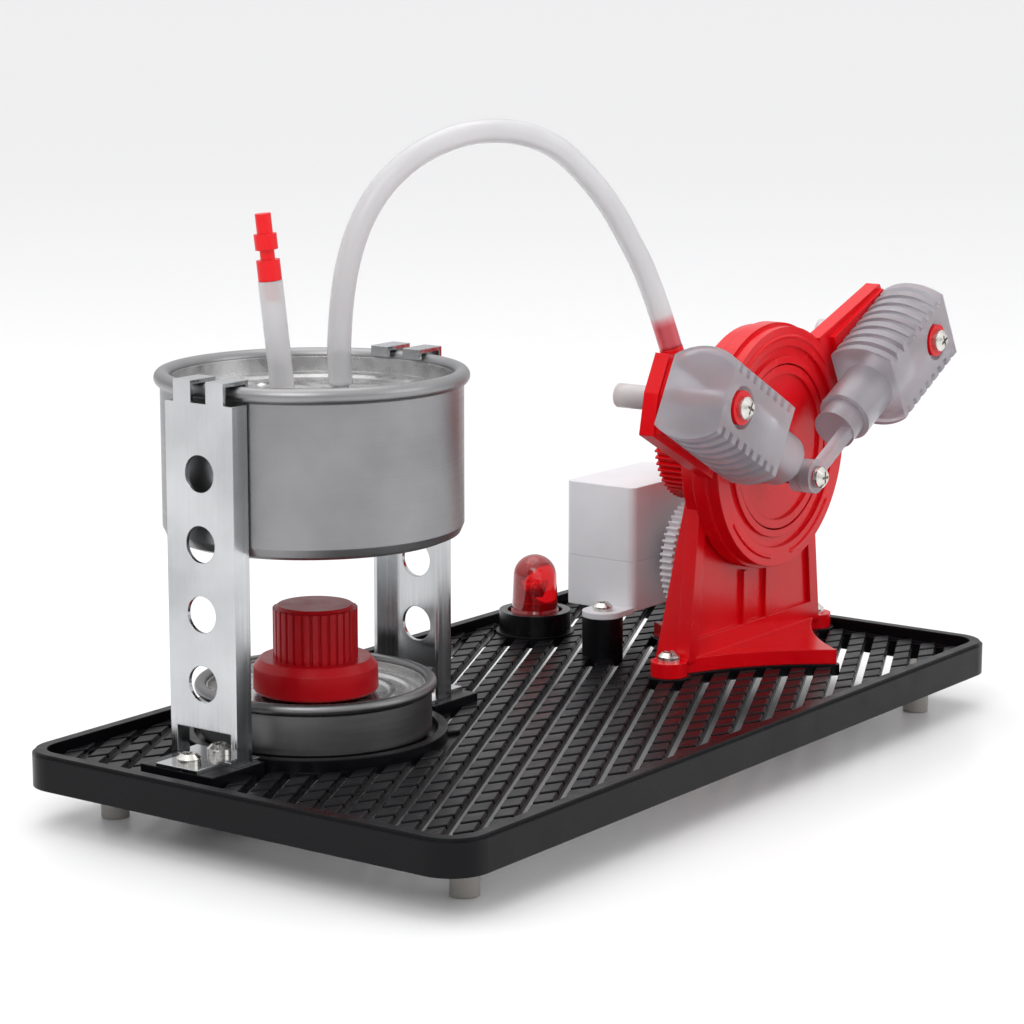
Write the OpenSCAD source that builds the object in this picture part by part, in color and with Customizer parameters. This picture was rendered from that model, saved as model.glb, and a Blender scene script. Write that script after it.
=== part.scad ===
// Model steam engine on a moulded tray: a spirit burner under a boiler can, a silicone steam
// hose, and a V-twin oscillating-cylinder engine that turns a small generator with a lamp.
// Millimetres. +Z is up, +X runs from the boiler end to the engine end, and the engine faces -Y.
// The origin is on the ground below the middle of the whole model.

/* [Base tray] */
// Length of the tray
base_l = 250; // [240:1:270]
// Width of the tray
base_w = 136; // [130:1:150]
// Radius of the tray's corners
base_r = 10; // [6:1:14]
// Height of the tray's lower edge above the ground
base_bottom = 9.9; // [8:0.1:11]
// Height of the tray's rim above the ground
base_top = 18.8; // [18:0.1:20]
// Thickness of the rim wall
rim_w = 3.6; // [3:0.1:5]
// Height of the deck's upper face
deck_top = 15.4; // [15:0.1:16]
// Thickness of the deck
deck_t = 1.5; // [1.4:0.1:2.5]
// Distance between the drain slots, square to them
slot_pitch = 6.7; // [6:0.1:9]
// Width of a drain slot
slot_w = 2.2; // [1.5:0.1:2.6]
// Direction of the drain slots from +X
slot_angle = 26; // [20:1:32]
// Diameter of a foot
foot_d = 7; // [6:0.5:9]

/* [Boiler and stands] */
// Outer radius of the boiler can's wall
can_r = 37.3; // [36.5:0.1:37.5]
// Height of the can's bottom
can_bottom = 68; // [64:0.5:70]
// Height of the middle of the can's rolled bead
bead_z = 107.5; // [106:0.5:109]
// Radius of the bead's section
bead_r = 2; // [1.5:0.1:2.2]
// Height of the lid's floor
lid_z = 103.6; // [102:0.1:104]
// Distance of a stand's outer face from the boiler's axis
stand_reach = 42; // [41.5:0.1:43]
// Width of a stand
stand_w = 21; // [18:0.5:23]
// Diameter of the holes in a stand
stand_hole_d = 9; // [6:0.5:10]
// Distance between the holes in a stand
stand_hole_pitch = 17; // [15:0.5:18]
// Outer diameter of the silicone hoses
hose_d = 6; // [5:0.5:7]
// Inner diameter of the silicone hoses
hose_bore = 4; // [3:0.5:4]

/* [Burner] */
// Outer radius of the burner can
burner_r = 29; // [26:0.5:29.5]
// Height of the burner's rim
burner_top = 31.4; // [28:0.2:33]
// Radius of the snuffer cap's flange
snuffer_r = 15.7; // [14:0.1:17]
// Height of the snuffer cap's top
snuffer_top = 50.1; // [48:0.1:51]

/* [Engine] */
// Height of the crankshaft
crank_z = 75.6; // [74:0.1:78]
// Crank radius
crank_r = 10; // [9:0.1:10.5]
// Direction of the crankpin at rest, from +X, seen from the front
crank_angle = 213.5; // [210:0.5:216]
// Distance of a cylinder's pivot from the crankshaft
pivot_reach = 56.3; // [56:0.1:58]
// Half of the angle between the cylinder arms
vee_half = 66.5; // [66:0.5:68]
// Lean of the middle of the vee to the boiler's side
vee_lean = 3.7; // [2:0.1:5]
// Outer radius of the round crank housing
housing_r = 34; // [33:0.5:36]
// Radius of the crank disc
disc_r = 22.6; // [21:0.1:23]
// Bore of a cylinder
bore_d = 12; // [11:0.1:12.4]
// Number of fins on a cylinder
fin_count = 8; // [6:1:9]

/* [Gears and generator] */
// Teeth on each of the two equal gears
teeth = 56; // [48:2:60]
// Module of the gears
gear_module = 0.6; // [0.5:0.05:0.65]
// Width of the generator case
gen_w = 40; // [36:1:42]
// Height of the generator case's top
gen_top = 63; // [60:1:66]

/* [Lamp] */
// Diameter of the lamp's dome
lamp_d = 12.4; // [10:0.2:13]
// Height of the lamp's top
lamp_top = 39; // [34:0.5:42]

/* [Hidden] */
$fn = 64;
gap = 0.3;              // clearance between moving faces
sheet = 1;              // thickness of the stands' sheet metal
tin = 0.6;              // thickness of the cans' sheet metal

base_x = -8;            // middle of the tray
boiler_x = base_x - 63.6;
boiler_y = 23.7;
engine_x = base_x + 77.8;
lamp_x = base_x + 64;
lamp_y = 48;

deck_bottom = deck_top - deck_t;
pad_top = 18.6;         // top of the raised pads that parts are screwed to
inner_l = base_l - 2 * rim_w;
inner_w = base_w - 2 * rim_w;
inner_r = base_r - rim_w;
rim_step = 0.8;         // small step round the rim's outer edge
foot_x = 105;
foot_y = 54;
tray_lip = 3;           // plain border between the rim and the drain slots
burner_ring_r = 33;
burner_ring_t = 2.4;

bead_mid_r = can_r - 0.5;
lid_r = bead_mid_r - bead_r + 0.5;   // the lid's skirt is seamed into the bead
lid_step_r = 30;
spigot_gap = 11;        // distance of each spigot from the boiler's axis
spigot_r = hose_bore / 2;
spigot_top = 112;
hose_foot = lid_z + 0.2;
filler_top = 131.8;
filler_tilt = [-4, -4, 0];

flange_depth = 5.4;     // inward depth of a stand's flanges
foot_plate_w = 13;
foot_plate_out = 10;    // outward length of a stand's foot
foot_plate_in = 8.6;    // inward length of a stand's floor
window_h = 7;
stand_screw_out = 5.6;
stand_screw_in = 5.4;
stand_hole_z = 37.7;

burner_bottom = deck_top + 1.2;
burner_floor = burner_top - 4;      // recessed plate that the snuffer sits on
wick_r = 3.4;
wick_tube_r = 4.6;
wick_top = burner_floor + 7;
snuffer_floor = burner_floor + 1.1;
snuffer_skirt_top = 36.7;
knob_r = 10.6;
rib_count = 30;
rib_depth = 0.5;

front_y = -18;          // front face of the tower's plate
plate_t = 4;
tower_top = 66;
flange_y = -14;         // middle of the tower's flange
flange_z = 17;          // underside of the tower's flange
flange_t = 4;
flange_x_reach = 43;
flange_y_reach = 30;
lobe_r = 5;
tower_screw_x = 38;

housing_front = front_y - 7.6;
arm_back = -20.4;
arm_front = -26.2;
arm_root = 30.8;
left_arm_end = 63;
right_arm_end = 66;
arm_tip_w = 22;
arm_root_w = 31;
axis_y = -36;           // plane of the cylinders' axes
block_half = 9.5;       // half of a cylinder block's depth along Y
fin_arc_r = 16;
fin_drop = 3.1;
fin_half = fin_arc_r - fin_drop;
block_head = -8.5;      // a block's closed end, from its pivot
block_foot = 24.5;      // a block's open end, from its pivot
neck_r = 7.5;
neck_end = 39;
bore_start = 11;
piston_r = bore_d / 2 - 0.05;
piston_l = 14;
piston_lag = 21;        // from the crankpin to the piston's nearer face
eye_r = 4.6;
rod_t = 3;              // thickness of a rod along Y
rod_h = 3.2;
rear_rod_y = -36.9;     // middle plane of the left cylinder's rod
front_rod_y = -40.1;    // middle plane of the right cylinder's rod
pin_r = 2.7;
boss_r = 3.4;
boss_front = -29.7;     // front of the disc's pin boss, just behind the pistons
post_r = 3;
tail_r = 1.45;          // the post's thin end, behind the arm
cap_back = -7.5;
post_head_r = 4.5;
recess_r = 5.6;

pin_x = crank_r * cos(crank_angle);
pin_z = crank_r * sin(crank_angle);
left_dir = 90 + vee_lean + vee_half;
right_dir = 90 + vee_lean - vee_half;
left_pivot = [pivot_reach * cos(left_dir), pivot_reach * sin(left_dir)];
right_pivot = [pivot_reach * cos(right_dir), pivot_reach * sin(right_dir)];
left_run = [pin_x - left_pivot[0], pin_z - left_pivot[1]];
right_run = [pin_x - right_pivot[0], pin_z - right_pivot[1]];

gear_r = teeth * gear_module / 2;
pressure = 20;
backlash = 0.16;
shaft_r = 2;
crank_gear_y = [-3, 5];
gen_gear_y = [-1, 3];
gen_z = crank_z - 2 * gear_r;
gen_y = [10, 33];
gen_bottom = 28;
gen_wall = 1.6;
gen_shaft_r = 1;
motor_r = 10.5;
rotor_r = 5.5;
post_x = 26;            // distance of the generator's side lugs from its middle
lug_y = 16;
lug_r = 5.7;
lug_t = 1.6;
lug_top = 29;
lug_run = post_x - gen_w / 2 + 1;

socket_r = 10.25;
socket_top = 23;

// The steam hose's route, from the boiler's spigot over an arch to the left arm's nipple
hose_route = [
    [-60.6, 23.7, 104], [-60.9, 23.9, 111], [-60.6, 23.8, 118], [-59.9, 23.4, 126],
    [-58.4, 22.6, 134.5], [-55.6, 21, 143.5], [-51, 18.4, 151.7], [-45.2, 15.2, 157.8],
    [-38.8, 11.6, 162], [-31, 7.3, 164.8], [-22.5, 2.5, 165.4], [-14.8, -1.8, 163.8],
    [-7.8, -5.7, 160], [-1.2, -9.3, 153.4], [4.6, -12.6, 145.4], [8.6, -14.9, 138],
    [12.4, -17.2, 130], [15.3, -19.3, 121.5], [17.3, -21, 114], [18.5, -22.3, 108.4]];

// ---- helpers ----

// A plate with round corners, lying on z = 0
module round_plate(l, w, r, h) {
    linear_extrude(h) {
        square([l - 2 * r, w], center = true);
        square([l, w - 2 * r], center = true);
        for (x = [-1, 1], y = [-1, 1])
            translate([x * (l / 2 - r), y * (w / 2 - r)]) circle(r);
    }
}

// A cylinder along +Y from y0 to y1
module along_y(r, y0, y1) {
    translate([0, y1, 0]) rotate([90, 0, 0]) cylinder(r = r, h = y1 - y0);
}

// Children drawn in the XZ plane, given depth from y0 to y1
module slab_y(y0, y1) {
    translate([0, y1, 0]) rotate([90, 0, 0]) linear_extrude(y1 - y0) children();
}

// A cross-headed pan screw standing on z = 0 with its shank below
module pan_screw(head_r, head_h, shank_l) {
    difference() {
        union() {
            cylinder(r = head_r, h = head_h * 0.55);
            translate([0, 0, head_h * 0.55])
                cylinder(r1 = head_r, r2 = head_r * 0.6, h = head_h * 0.45);
            translate([0, 0, -shank_l]) cylinder(r = 1.5, h = shank_l);
        }
        for (a = [0, 90])
            rotate([0, 0, a]) translate([-head_r * 0.55, -0.35, head_h * 0.5])
                cube([head_r * 1.1, 0.7, head_h]);
    }
}

// The same screw lying along Y with its head's seat at y and its head towards -Y
module screw_y(head_r, head_h, shank_l, y) {
    translate([0, y, 0]) rotate([90, 0, 0]) pan_screw(head_r, head_h, shank_l);
}

module at_base() translate([base_x, 0, 0]) children();
module at_boiler() translate([boiler_x, boiler_y, 0]) children();
module at_crank() translate([engine_x, 0, crank_z]) children();
module at_pin() at_crank() translate([pin_x, 0, pin_z]) children();
module at_left() at_crank() translate([left_pivot[0], 0, left_pivot[1]])
    rotate([0, atan2(-left_run[1], left_run[0]), 0]) children();
module at_right() at_crank() translate([right_pivot[0], 0, right_pivot[1]])
    rotate([0, atan2(-right_run[1], right_run[0]), 0]) children();

// ---- base ----

// Outline of the tower's flange: a four-pointed star with hollow sides and two round lobes
module star(grow) {
    chord = norm([flange_x_reach, flange_y_reach]);
    hollow = 5;
    arc_r = (chord * chord / 4 + hollow * hollow) / (2 * hollow);
    out = arc_r - hollow;
    difference() {
        polygon([[-flange_x_reach - grow, 0], [0, -flange_y_reach - grow],
            [flange_x_reach + grow, 0], [0, flange_y_reach + grow]]);
        for (x = [-1, 1], y = [-1, 1])
            translate([x * (flange_x_reach / 2 + out * flange_y_reach / chord),
                       y * (flange_y_reach / 2 + out * flange_x_reach / chord)])
                circle(arc_r - grow, $fn = 128);
    }
    for (x = [-1, 1]) translate([x * tower_screw_x, 0]) circle(lobe_r + grow);
}

module drain_slots() {
    reach = base_l * sin(slot_angle) / 2 + base_w * cos(slot_angle) / 2;
    count = floor(reach / slot_pitch);
    intersection() {
        translate([0, 0, deck_bottom - 1])
            round_plate(inner_l - 2 * tray_lip, inner_w - 2 * tray_lip, inner_r, deck_t + 2);
        rotate([0, 0, slot_angle]) for (k = [-count:count])
            translate([-base_l / 2, k * slot_pitch - slot_w / 2, deck_bottom - 1])
                cube([base_l, slot_w, deck_t + 2]);
    }
}

module stand_pad(side) {
    translate([boiler_x - base_x + side * stand_reach, boiler_y, 0])
        translate([side > 0 ? -foot_plate_in : -foot_plate_out, -stand_w / 2 - 1, deck_bottom])
            cube([foot_plate_in + foot_plate_out, stand_w + 2, pad_top - deck_bottom]);
}

module base_solid_pads() {
    translate([boiler_x - base_x, boiler_y, deck_bottom]) {
        cylinder(r = burner_ring_r, h = burner_bottom - deck_bottom);
        difference() {
            cylinder(r = burner_ring_r, h = pad_top - deck_bottom);
            translate([0, 0, burner_bottom - deck_bottom])
                cylinder(r = burner_ring_r - burner_ring_t, h = deck_t + 2);
        }
    }
    for (side = [-1, 1]) stand_pad(side);
    translate([engine_x - base_x, flange_y, deck_bottom])
        linear_extrude(flange_z - deck_bottom) star(1);
    for (side = [-1, 1])
        translate([engine_x - base_x + side * post_x, lug_y, deck_bottom])
            cylinder(r = lug_r, h = lug_top - lug_t - deck_bottom);
    translate([lamp_x - base_x, lamp_y, deck_bottom])
        cylinder(r = socket_r + 1, h = pad_top - 1.6 - deck_bottom);
}

module base_tray() color([0.06, 0.06, 0.07]) at_base() difference() {
    union() {
        difference() {
            union() {
                translate([0, 0, base_bottom])
                    round_plate(base_l, base_w, base_r, base_top - rim_step - base_bottom);
                translate([0, 0, base_bottom])
                    round_plate(base_l - 2 * rim_step, base_w - 2 * rim_step, base_r - rim_step,
                        base_top - base_bottom);
            }
            translate([0, 0, deck_top])
                round_plate(inner_l, inner_w, inner_r, base_top - deck_top + 1);
            translate([0, 0, base_bottom - 1])
                round_plate(inner_l, inner_w, inner_r, deck_bottom - base_bottom + 1);
            drain_slots();
        }
        base_solid_pads();
    }
    for (s = [-1, 1], d = [stand_screw_out, -stand_screw_in])
        translate([boiler_x - base_x + s * (stand_reach + d), boiler_y, deck_bottom - 1])
            cylinder(r = 1.6, h = pad_top - deck_bottom + 2);
    for (s = [-1, 1]) translate([engine_x - base_x + s * tower_screw_x, flange_y, deck_bottom - 1])
        cylinder(r = 1.6, h = pad_top - deck_bottom + 2);
    for (s = [-1, 1]) translate([engine_x - base_x + s * post_x, lug_y, deck_bottom - 1])
        cylinder(r = 1.6, h = lug_top - deck_bottom + 2);
}

module feet() color([0.55, 0.54, 0.52]) at_base()
    for (x = [-foot_x, foot_x], y = [-foot_y, foot_y])
        translate([x, y, 0]) cylinder(d = foot_d, h = deck_bottom);

// ---- boiler ----

// One stand, drawn for the boiler's +X side: a channel open towards the boiler
module stand() {
    web_in = stand_reach - sheet;
    web_top = bead_z - bead_r;
    hook_top = bead_z + bead_r + gap + sheet;
    hook_in = bead_mid_r - bead_r - 1.9;
    tab_w = 5.4;
    slot_half = 2.4;
    difference() {
        union() {
            translate([web_in, -stand_w / 2, pad_top])
                cube([sheet, stand_w, web_top - pad_top]);
            for (y = [-stand_w / 2, stand_w / 2 - sheet])
                translate([stand_reach - flange_depth, y, pad_top])
                    cube([flange_depth, sheet, web_top - pad_top]);
            translate([stand_reach - foot_plate_in, -stand_w / 2 + 0.5, pad_top])
                cube([foot_plate_in, stand_w - 1, sheet]);
            translate([stand_reach - sheet, -foot_plate_w / 2, pad_top])
                cube([foot_plate_out + sheet, foot_plate_w, sheet]);
            for (s = [-1, 1]) translate([0, s * (slot_half + tab_w / 2) - tab_w / 2, 0]) {
                translate([web_in, 0, web_top - 1])
                    cube([sheet, tab_w, hook_top - web_top + 1]);
                translate([hook_in, 0, hook_top - sheet])
                    cube([stand_reach - hook_in, tab_w, sheet]);
                translate([hook_in, 0, bead_z + 0.7])
                    cube([0.9, tab_w, hook_top - bead_z - 0.7]);
            }
        }
        for (k = [0:3]) translate([web_in - 1, 0, stand_hole_z + k * stand_hole_pitch])
            rotate([0, 90, 0]) cylinder(d = stand_hole_d, h = sheet + 2);
        translate([web_in - 1, -stand_w / 2 + 2, pad_top + sheet])
            cube([sheet + 2, stand_w - 4, window_h]);
        for (d = [stand_screw_out, -stand_screw_in])
            translate([stand_reach + d, 0, pad_top - 1]) cylinder(r = 1.6, h = sheet + 2);
    }
}

module outer_stand() color([0.82, 0.83, 0.85]) at_boiler() rotate([0, 0, 180]) stand();
module inner_stand() color([0.82, 0.83, 0.85]) at_boiler() stand();

module stand_screws() color([0.75, 0.75, 0.76]) at_boiler()
    for (s = [-1, 1], d = [stand_screw_out, -stand_screw_in])
        translate([s * (stand_reach + d), 0, pad_top + sheet]) pan_screw(3, 2.4, 5);

// The can: thin wall and floor with a rolled bead at the mouth
module boiler_can() color([0.62, 0.63, 0.64]) at_boiler() {
    rotate_extrude($fn = 96) {
        polygon([[0, can_bottom], [can_r - 3, can_bottom], [can_r - 0.9, can_bottom + 0.9],
            [can_r, can_bottom + 3], [can_r, bead_z], [can_r - tin, bead_z],
            [can_r - tin, can_bottom + 3], [can_r - 3, can_bottom + tin], [0, can_bottom + tin]]);
        translate([bead_mid_r, bead_z]) circle(bead_r, $fn = 32);
    }
}

module boiler_lid() color([0.66, 0.67, 0.68]) at_boiler() difference() {
    rotate_extrude($fn = 96)
        polygon([[0, lid_z - 1.2], [lid_step_r - 2, lid_z - 1.2], [lid_step_r, lid_z - tin],
            [lid_r, lid_z - tin], [lid_r, bead_z], [lid_r - tin, bead_z], [lid_r - tin, lid_z],
            [lid_step_r - 0.3, lid_z], [lid_step_r - 2.2, lid_z - tin], [0, lid_z - tin]]);
    for (s = [-1, 1]) translate([s * spigot_gap, 0, lid_z - 3]) cylinder(r = spigot_r + 0.25, h = 6);
}

module spigot() difference() {
    union() {
        translate([0, 0, lid_z - 4]) cylinder(r = spigot_r, h = spigot_top - lid_z + 4);
        translate([0, 0, lid_z - 4]) cylinder(r = spigot_r + 1.2, h = 2.2);
    }
    translate([0, 0, lid_z - 5]) cylinder(r = spigot_r - 0.6, h = spigot_top);
}

module filler_spigot() color([0.7, 0.7, 0.7]) at_filler()
    translate([0, 0, -lid_z]) spigot();
module steam_spigot() color([0.7, 0.7, 0.7]) at_boiler()
    translate([spigot_gap, 0, 0]) spigot();

module at_filler() at_boiler() translate([-spigot_gap, 0, lid_z]) rotate(filler_tilt) children();

module filler_hose() color([0.86, 0.86, 0.87]) at_filler() difference() {
    translate([0, 0, 0.3]) cylinder(d = hose_d, h = filler_top - hose_foot);
    cylinder(d = hose_bore + 0.02, h = filler_top);
}

// The filler's plug: an insert, two collars and a stem
module filler_plug() color([0.86, 0.05, 0.08]) at_filler()
    translate([0, 0, filler_top - lid_z + 0.2]) {
        translate([0, 0, -4.9]) cylinder(r = hose_bore / 2 - 0.05, h = 5);
        cylinder(r = 2.9, h = 5);
        translate([0, 0, 5]) cylinder(r = 1.8, h = 2.5);
        translate([0, 0, 7.5]) cylinder(r = 2.8, h = 3.8);
        translate([0, 0, 11.3]) cylinder(r = 1.95, h = 4.9);
    }

// ---- steam hose: one ring of points for each step along the route ----

// A point on the smooth curve through four neighbouring route points
function spline(a, b, c, d, t) =
    0.5 * (2 * b + (c - a) * t + (2 * a - 5 * b + 4 * c - d) * t * t
        + (3 * b - a - 3 * c + d) * t * t * t);
function route_at(p, k) = p[max(0, min(len(p) - 1, k))];
hose_steps = 2;
hose_line = [for (k = [0:len(hose_route) - 2], s = [0:hose_steps - 1])
    spline(route_at(hose_route, k - 1), hose_route[k], hose_route[k + 1],
        route_at(hose_route, k + 2), s / hose_steps), hose_route[len(hose_route) - 1]];
function unit(v) = v / norm(v);
function heading(p, k) = unit(route_at(p, k + 1) - route_at(p, k - 1));
hose_sides = 10;
hose_across = unit([hose_route[0][1] - hose_route[19][1], hose_route[19][0] - hose_route[0][0], 0]);
function hose_ring(k) = let (t = heading(hose_line, k), u = unit(cross(hose_across, t)), v = cross(t, u))
    [for (a = [0:hose_sides - 1])
        hose_line[k] + hose_d / 2 * (cos(a * 360 / hose_sides) * u + sin(a * 360 / hose_sides) * v)];

module steam_hose() color([0.86, 0.86, 0.87]) {
    rings = len(hose_line);
    points = [for (k = [0:rings - 1]) each hose_ring(k)];
    sides = [for (k = [0:rings - 2], a = [0:hose_sides - 1])
        let (b = (a + 1) % hose_sides, o = k * hose_sides)
            [o + a, o + b, o + hose_sides + b, o + hose_sides + a]];
    start = [for (a = [0:hose_sides - 1]) hose_sides - 1 - a];
    end = [for (a = [0:hose_sides - 1]) (rings - 1) * hose_sides + a];
    polyhedron(points, [start, each sides, end]);
}

// ---- burner ----

module burner_can() color([0.55, 0.56, 0.57]) at_boiler() rotate_extrude($fn = 96) {
    polygon([[0, burner_bottom], [burner_r - 2, burner_bottom], [burner_r, burner_bottom + 2],
        [burner_r, burner_top - 1.5], [burner_r - tin, burner_top - 1.5],
        [burner_r - tin, burner_bottom + 2], [burner_r - 2, burner_bottom + tin],
        [0, burner_bottom + tin]]);
    translate([burner_r - 0.2, burner_top - 1.5]) circle(1.5, $fn = 32);
}

module burner_top_plate() color([0.6, 0.6, 0.62]) at_boiler() difference() {
    rotate_extrude($fn = 96)
        polygon([[0, burner_floor - tin], [burner_r - 1.4, burner_floor - tin],
            [burner_r - 1.4, burner_top - 1.5], [burner_r - 2, burner_top - 1.5],
            [burner_r - 2, burner_floor], [25.6, burner_floor], [25, burner_floor + 0.6],
            [23.6, burner_floor + 0.6], [23, burner_floor], [20.6, burner_floor],
            [20, burner_floor + 0.6], [18.6, burner_floor + 0.6], [18, burner_floor],
            [0, burner_floor]]);
    translate([0, 0, burner_floor - 3]) cylinder(r = wick_tube_r - 0.8, h = 6);
}

module wick_tube() color([0.72, 0.72, 0.7]) at_boiler() difference() {
    union() {
        translate([0, 0, burner_floor - 4]) cylinder(r = wick_tube_r - 0.9, h = wick_top - burner_floor + 3);
        translate([0, 0, burner_floor]) cylinder(r = wick_tube_r, h = 1.4);
    }
    translate([0, 0, burner_floor - 5]) cylinder(r = wick_r - 0.5, h = 20);
}

module wick() color([0.85, 0.82, 0.72]) at_boiler()
    translate([0, 0, burner_bottom + 1.4]) cylinder(r = wick_r - 0.7, h = wick_top - burner_bottom - 0.4);

// Outline of the snuffer's knob: flat ribs with a narrow groove after each
function knob_point(k, part, r) = let (a = (k + part) * 360 / rib_count) [r * cos(a), r * sin(a)];
module knob_outline(r) polygon([for (k = [0:rib_count - 1])
    each [knob_point(k, 0, r), knob_point(k, 0.35, r), knob_point(k, 0.65, r),
        knob_point(k, 0.75, r - rib_depth), knob_point(k, 0.9, r - rib_depth)]]);

// Snuffer cap: a hollow flange with a ribbed knob
module snuffer_cap() color([0.5, 0.02, 0.05]) at_boiler() difference() {
    union() {
        rotate_extrude($fn = 96)
            polygon([[0, snuffer_floor], [snuffer_r - 0.4, snuffer_floor],
                [snuffer_r, snuffer_floor + 0.6], [snuffer_r - 0.2, snuffer_skirt_top - 2],
                [snuffer_r - 1.8, snuffer_skirt_top], [0, snuffer_skirt_top]]);
        translate([0, 0, snuffer_skirt_top - 1])
            linear_extrude(snuffer_top - snuffer_skirt_top + 0.2) knob_outline(knob_r);
        translate([0, 0, snuffer_top - 1.2]) cylinder(r1 = knob_r - 0.5, r2 = knob_r - 1.3, h = 1.2);
    }
    translate([0, 0, snuffer_floor - 1]) cylinder(r = snuffer_r - 2.2, h = 8);
    translate([0, 0, snuffer_floor]) cylinder(r = 7.6, h = snuffer_top - snuffer_floor - 6);
}

// ---- engine frame ----

module engine_tower() color([0.78, 0.04, 0.08]) {
    plate_top = tower_top - crank_z;
    z0 = flange_z + flange_t - crank_z;
    difference() {
        union() {
            translate([engine_x, flange_y, flange_z]) linear_extrude(flange_t) star(0);
            at_crank() {
                slab_y(front_y, front_y + plate_t) union() {
                    polygon([[-34.5, z0 - 1], [34.5, z0 - 1], [29.3, plate_top], [-29.3, plate_top]]);
                    circle(housing_r - 1);
                }
                along_y(9, front_y + plate_t - 1, -9);
                along_y(6, -10, crank_gear_y[0] - gap);
            }
            for (s = [-1, 1]) tower_side(s);
        }
        at_crank() along_y(shaft_r + 1.5, front_y - 1, 0);
        at_crank() slab_y(front_y - 1, front_y + 1.2)
            polygon([[-29.5, z0 + 5], [29.5, z0 + 5], [25.5, plate_top], [-25.5, plate_top]]);
        for (s = [-1, 1]) translate([engine_x + s * tower_screw_x, flange_y, flange_z - 1])
            cylinder(r = 1.6, h = flange_t + 2);
    }
    at_crank() slab_y(front_y, front_y + 1.6) {
        for (x = [-6.6, 5]) translate([x, z0]) square([1.6, plate_top - z0 - 25]);
    }
}

// Side wall of the tower: a wedge, deep at the foot and shallow at the top
module tower_side(s) {
    z0 = flange_z + flange_t - 1;
    lean = (34.5 - 29.3) / (tower_top - z0);
    translate([engine_x + s * 34, 0, z0]) rotate([0, -s * atan(lean), 0])
        translate([s > 0 ? -3 : 0, 0, 0])
            rotate([90, 0, 90]) linear_extrude(3)
                polygon([[front_y + 1, 0], [front_y + 11, 0], [front_y + 5, tower_top - z0 - 2],
                    [front_y + 1, tower_top - z0 - 2]]);
}

module tower_screws() color([0.75, 0.75, 0.76])
    for (s = [-1, 1]) translate([engine_x + s * tower_screw_x, flange_y, flange_z + flange_t])
        pan_screw(3, 2.4, 7);

// Round housing: a shell with stepped rings round the crank disc
module crank_housing() color([0.8, 0.04, 0.08]) at_crank() difference() {
    union() {
        along_y(housing_r, housing_front + 3.4, front_y);
        along_y(housing_r - 0.9, housing_front, housing_front + 4);
    }
    along_y(disc_r + 0.4, housing_front - 1, housing_front + 3.4);
    along_y(shaft_r + 1.5, housing_front - 1, front_y + 1);
    difference() {
        along_y(27.8, housing_front - 1, housing_front + 0.9);
        along_y(25, housing_front - 2, housing_front + 2);
    }
    arm_seat(left_dir);
    arm_seat(right_dir);
}

module arm_outline(end) polygon([[arm_root, -arm_root_w / 2], [end, -arm_tip_w / 2],
    [end + 1.6, 0], [end, arm_tip_w / 2], [arm_root, arm_root_w / 2]]);

module arm_seat(dir) slab_y(arm_front - 1, arm_back) rotate(dir) {
    polygon([[arm_root - 0.4, -20], [60, -20], [60, 20], [arm_root - 0.4, 20]]);
}

// The two cylinder arms with their port faces, one moulding behind the housing's edge
module valve_arms() color([0.8, 0.04, 0.08]) at_crank() difference() {
    for (arm = [[left_dir, left_arm_end], [right_dir, right_arm_end]]) {
        slab_y(arm_front + 1.4, arm_back) rotate(arm[0]) arm_outline(arm[1]);
        slab_y(arm_front, arm_front + 1.6) rotate(arm[0])
            polygon([[arm_root + 5, -12.6], [arm[1] - 0.9, -arm_tip_w / 2 + 0.9],
                [arm[1] + 0.5, 0], [arm[1] - 0.9, arm_tip_w / 2 - 0.9], [arm_root + 5, 12.6]]);
    }
    for (p = [left_pivot, right_pivot]) translate([p[0], 0, p[1]]) {
        along_y(post_r + 0.06, arm_front - 1, arm_back - 1);
        along_y(tail_r + 0.07, arm_front, arm_back + 1);
    }
}

// Steam nipple standing on the left arm's upper edge, with a pin inside the hose's end
module steam_nipple() color([0.8, 0.04, 0.08]) difference() {
    translate(hose_route[len(hose_route) - 1]) rotate([-13, -12, 0]) {
        translate([0, 0, -6]) cylinder(r = hose_d / 2 + 0.1, h = 5.8);
        cylinder(r = hose_bore / 2 - 0.1, h = 12, center = true);
    }
    valve_arms();
    translate([0, arm_front - 10, 90]) cube([40, 10, 30]);
}

module shaft_bush() color([0.75, 0.6, 0.3]) at_crank() difference() {
    along_y(shaft_r + 1.48, housing_front + 3.6, crank_gear_y[0] - gap);
    along_y(shaft_r + 0.05, housing_front, 10);
}

// ---- crank ----

module crank_disc() color([0.74, 0.03, 0.07]) {
    at_crank() difference() {
        union() {
            along_y(disc_r, housing_front + 0.2, housing_front + 3.1);
            along_y(5, housing_front - 1.2, housing_front + 1);
        }
        difference() {
            along_y(disc_r - 2.4, housing_front - 1, housing_front + 1);
            along_y(6.5, housing_front - 2, housing_front + 2);
        }
        along_y(shaft_r + 0.01, housing_front + 1, housing_front + 4);
    }
    at_pin() along_y(boss_r, boss_front, housing_front + 1.5);
}

module crankshaft() color([0.7, 0.7, 0.72]) at_crank()
    along_y(shaft_r, housing_front + 1.05, crank_gear_y[1] + 1);

// Half the angle that a tooth fills at radius r
function involute(a) = tan(a) - a * PI / 180;
function tooth_half(r) = (PI * gear_module / 2 - backlash / 2) / (2 * gear_r) * 180 / PI
    + (involute(pressure) - involute(acos(min(1, gear_r * cos(pressure) / r)))) * 180 / PI;
function tooth(a) = let (r0 = gear_r - 1.2 * gear_module, r1 = gear_r, r2 = gear_r + 0.85 * gear_module)
    [for (q = [[r0, -1], [r1, -1], [r2, -1], [r2, 1], [r1, 1], [r0, 1]])
        q[0] * [cos(a + q[1] * tooth_half(q[0])), sin(a + q[1] * tooth_half(q[0]))]];

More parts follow.
